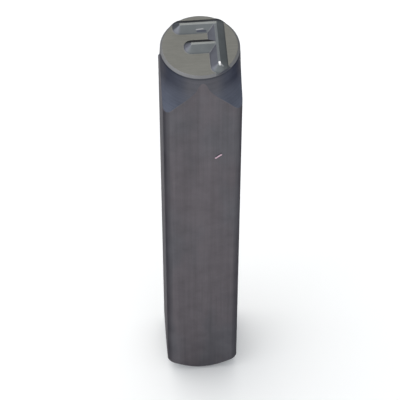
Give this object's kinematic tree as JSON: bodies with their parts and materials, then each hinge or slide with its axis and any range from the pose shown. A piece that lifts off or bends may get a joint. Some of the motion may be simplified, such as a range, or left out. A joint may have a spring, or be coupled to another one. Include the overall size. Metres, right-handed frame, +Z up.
{
  "type": "steel letter punch",
  "caption": "Square-shank hand punch with a turned end and a mirrored capital F in relief, struck on its plain end to stamp the letter into metal.",
  "frame": {"origin": "middle of the flat struck end, at the bottom", "axes": "+Z up the shank to the letter, +Y towards the letter's head, +X towards the letter's stem"},
  "size_m": [0.0094, 0.0094, 0.066],
  "materials": {
    "punch_steel": "blackened ground tool steel, satin, with a paler ground letter face"
  },
  "bodies": {
    "root": {"letter_punch": "punch_steel"}
  },
  "joints": []
}
